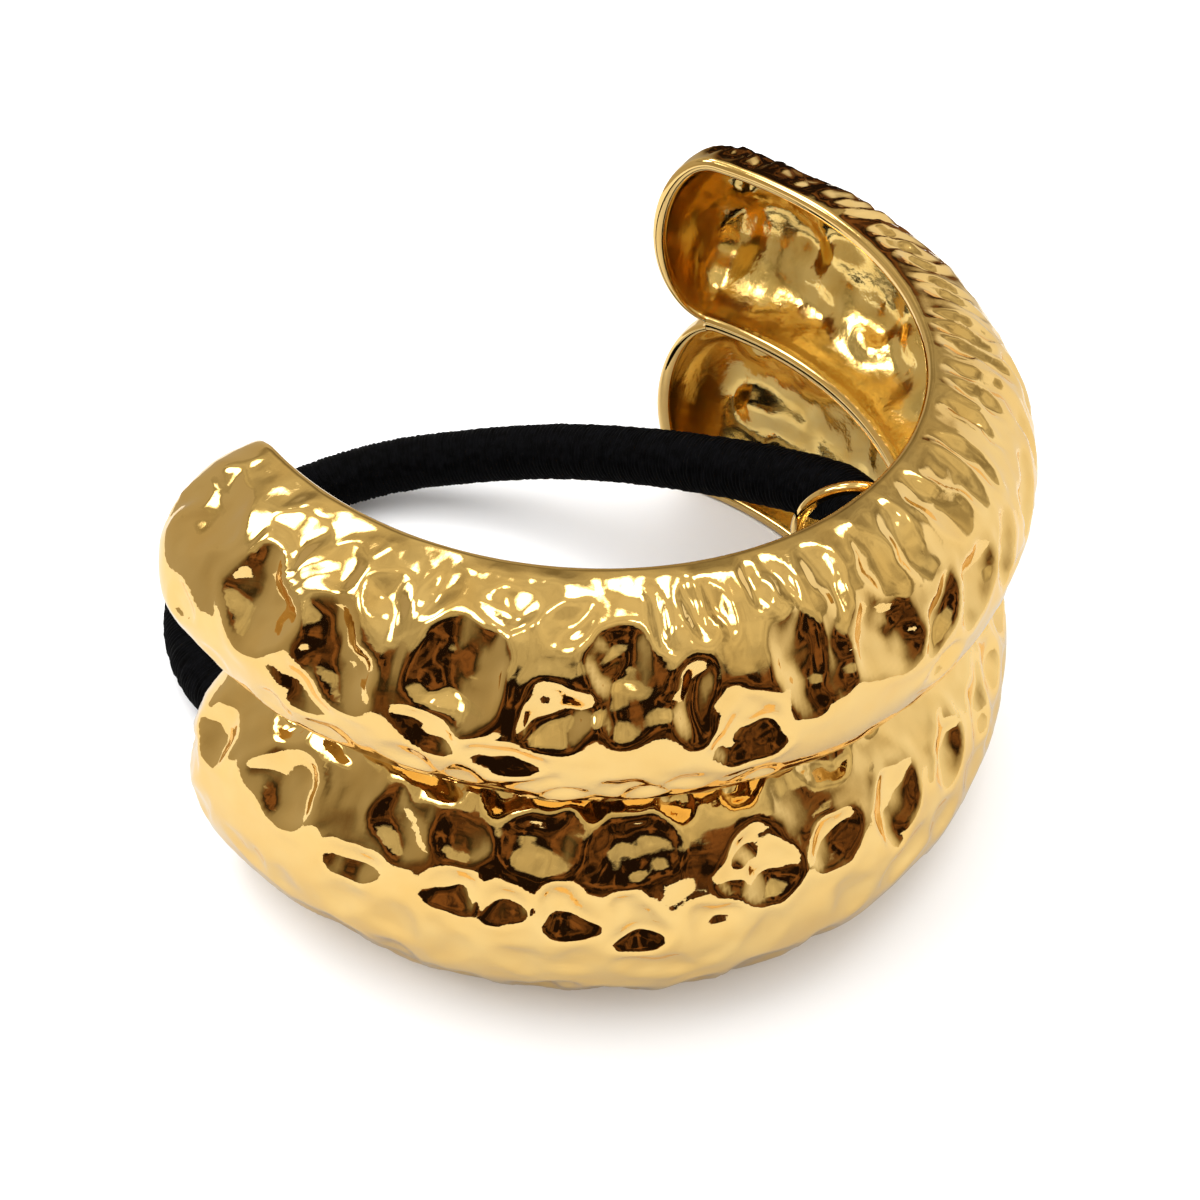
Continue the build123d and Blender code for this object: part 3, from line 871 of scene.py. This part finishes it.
def makeCards(spec):
    turns = np.linspace(0.0, 360.0, spec["sides"], endpoint=False)
    stops = np.array(cardStops)
    light = np.interp(turns, stops[:, 0], stops[:, 1])
    angles = np.radians(turns)
    points = np.zeros((2, spec["sides"], 3))
    points[..., 0] = np.sin(angles) * spec["radius"]
    points[..., 1] = np.cos(angles) * spec["radius"]
    points[1, :, 2] = spec["height"]
    here = np.arange(spec["sides"])
    after = np.roll(here, -1)
    faces = np.stack([here, after, after + spec["sides"], here + spec["sides"]], -1)
    material, nodes, links, glow = glowMaterial("cardPaint")
    place = nodes.new("ShaderNodeTexCoord")

    def noiseOf(scale):
        noise = nodes.new("ShaderNodeTexNoise")
        noise.inputs["Scale"].default_value = scale
        noise.inputs["Detail"].default_value = spec["detail"]
        links.new(place.outputs["Object"], noise.inputs["Vector"])
        return noise.outputs["Fac"]

    def mixOf(factor, first, second):
        mix = nodes.new("ShaderNodeMix")
        mix.data_type = "RGBA"
        links.new(factor, mix.inputs["Factor"])
        for socket, value in (("A", first), ("B", second)):
            if isinstance(value, tuple):
                mix.inputs[socket].default_value = value
            else:
                links.new(value, mix.inputs[socket])
        return mix.outputs["Result"]

    def rangeOf(value, low, high):
        ramp = nodes.new("ShaderNodeMapRange")
        ramp.inputs["From Min"].default_value = low
        ramp.inputs["From Max"].default_value = high
        links.new(value, ramp.inputs["Value"])
        return ramp.outputs["Result"]

    # The card ends in a wavy edge, and the ceiling shows above it
    share = nodes.new("ShaderNodeAttribute")
    share.attribute_name = "cardLight"
    streaks = mixOf(rangeOf(noiseOf(spec["streaks"]), *spec["streakRange"]), spec["dark"], spec["brown"])
    low = mixOf(share.outputs["Alpha"], streaks, share.outputs["Color"])
    split = nodes.new("ShaderNodeSeparateXYZ")
    links.new(place.outputs["Object"], split.inputs["Vector"])
    wave = nodes.new("ShaderNodeMath")
    wave.operation = "MULTIPLY_ADD"
    wave.inputs[1].default_value = spec["edgeWave"]
    links.new(noiseOf(spec["waves"]), wave.inputs[0])
    links.new(split.outputs["Z"], wave.inputs[2])
    start = spec["edge"] + spec["edgeWave"] / 2
    above = rangeOf(wave.outputs["Value"], start, start + spec["edgeBlur"])
    links.new(low, glow.inputs["Color"])
    through = nodes.new("ShaderNodeBsdfTransparent")
    cut = nodes.new("ShaderNodeMixShader")
    links.new(above, cut.inputs["Fac"])
    links.new(glow.outputs["Emission"], cut.inputs[1])
    links.new(through.outputs["BSDF"], cut.inputs[2])
    links.new(cut.outputs["Shader"], nodes["Material Output"].inputs["Surface"])
    cards = meshObject("cards", points.reshape(-1, 3), faces.reshape(-1, 4), [material])
    layer = cards.data.attributes.new("cardLight", "FLOAT_COLOR", "POINT")
    warm = light[:, None] ** np.array(spec["warmth"])
    paint = np.concatenate([warm, smooth(light * spec["streakFade"])[:, None]], axis=1)
    layer.data.foreach_set("color", np.tile(paint, (2, 1)).reshape(-1).astype(np.float32))
    onlyReflected(cards)


def boxGlow(spec):
    material, nodes, links, glow = glowMaterial("softBoxGlow")
    place = nodes.new("ShaderNodeTexCoord")
    edge = nodes.new("ShaderNodeTexGradient")
    edge.gradient_type = "SPHERICAL"
    soft = nodes.new("ShaderNodeMapRange")
    soft.interpolation_type = "SMOOTHSTEP"
    soft.inputs["From Max"].default_value = spec["softEdge"]
    strength = nodes.new("ShaderNodeAttribute")
    strength.attribute_name = "boxLight"
    product = nodes.new("ShaderNodeMath")
    product.operation = "MULTIPLY"
    through = nodes.new("ShaderNodeBsdfTransparent")
    total = nodes.new("ShaderNodeAddShader")
    links.new(place.outputs["Object"], edge.inputs["Vector"])
    links.new(edge.outputs["Fac"], soft.inputs["Value"])
    links.new(soft.outputs["Result"], product.inputs[0])
    links.new(strength.outputs["Fac"], product.inputs[1])
    links.new(product.outputs["Value"], glow.inputs["Strength"])
    links.new(glow.outputs["Emission"], total.inputs[0])
    links.new(through.outputs["BSDF"], total.inputs[1])
    links.new(total.outputs["Shader"], nodes["Material Output"].inputs["Surface"])
    return material


def makeLights(spec):
    material = boxGlow(spec)
    distance = spec["distance"]
    for box in softBoxes:
        compass, high = math.radians(box["compass"]), math.radians(box["high"])
        level = math.cos(high)
        away = Vector((math.sin(compass) * level, math.cos(compass) * level, math.sin(high)))
        half = distance * math.tan(math.radians(box["spread"]))
        facing = away.to_track_quat("Z", "Y")
        corners = np.array([(-1, -1, 0), (1, -1, 0), (1, 1, 0), (-1, 1, 0)], dtype=float)
        panel = meshObject(box["name"] + "Panel", corners, np.array([[0, 1, 2, 3]]), [material])
        layer = panel.data.attributes.new("boxLight", "FLOAT", "POINT")
        layer.data.foreach_set("value", np.full(4, box["radiance"], dtype=np.float32))
        panel.matrix_world = Matrix.LocRotScale(away * distance, facing, Vector((half, half, half)))
        onlyReflected(panel)
        data = bpy.data.lights.new(box["name"], "AREA")
        data.shape = "DISK"
        data.size = half * spec["lampWidth"]
        data.energy = box["power"]
        light = bpy.data.objects.new(box["name"], data)
        light.matrix_world = Matrix.LocRotScale(away * distance, facing, Vector((1, 1, 1)))
        light.visible_glossy = False
        bpy.context.scene.collection.objects.link(light)


def makeWorld(spec):
    world = bpy.data.worlds.new("studio")
    bpy.context.scene.world = world
    world.use_nodes = True
    nodes, links = world.node_tree.nodes, world.node_tree.links
    path = nodes.new("ShaderNodeLightPath")
    seen = nodes.new("ShaderNodeMix")
    shine = nodes.new("ShaderNodeMix")
    for mix in (seen, shine):
        mix.data_type = "RGBA"
    seen.inputs["A"].default_value = spec["fill"]
    seen.inputs["B"].default_value = spec["backdrop"]

    # Reflections see a ceiling that brightens unevenly towards the top
    place = nodes.new("ShaderNodeTexCoord")
    split = nodes.new("ShaderNodeSeparateXYZ")
    noise = nodes.new("ShaderNodeTexNoise")
    noise.inputs["Scale"].default_value = spec["ceilingPatches"]
    noise.inputs["Detail"].default_value = spec["ceilingDetail"]
    uneven = nodes.new("ShaderNodeMath")
    uneven.operation = "MULTIPLY_ADD"
    uneven.inputs[1].default_value = spec["ceilingUneven"]
    climb = nodes.new("ShaderNodeMapRange")
    climb.interpolation_type = "SMOOTHSTEP"
    climb.inputs["From Min"].default_value = spec["ceilingClimb"][0]
    climb.inputs["From Max"].default_value = spec["ceilingClimb"][1]
    ceiling = nodes.new("ShaderNodeMix")
    ceiling.data_type = "RGBA"
    ceiling.inputs["A"].default_value = spec["ceilingLow"]
    ceiling.inputs["B"].default_value = spec["ceilingHigh"]
    links.new(place.outputs["Generated"], split.inputs["Vector"])
    links.new(place.outputs["Generated"], noise.inputs["Vector"])
    links.new(noise.outputs["Fac"], uneven.inputs[0])
    links.new(split.outputs["Z"], uneven.inputs[2])
    links.new(uneven.outputs["Value"], climb.inputs["Value"])
    links.new(climb.outputs["Result"], ceiling.inputs["Factor"])
    links.new(ceiling.outputs["Result"], shine.inputs["B"])
    links.new(path.outputs["Is Camera Ray"], seen.inputs["Factor"])
    links.new(path.outputs["Is Glossy Ray"], shine.inputs["Factor"])
    links.new(seen.outputs["Result"], shine.inputs["A"])
    links.new(shine.outputs["Result"], nodes["Background"].inputs["Color"])


makeFloor(stageSpec)
makeCards(cardSpec)
makeLights(boxSpec)
makeWorld(stageSpec)
bpy.context.scene.view_settings.view_transform = "Standard"
print("stage lit")
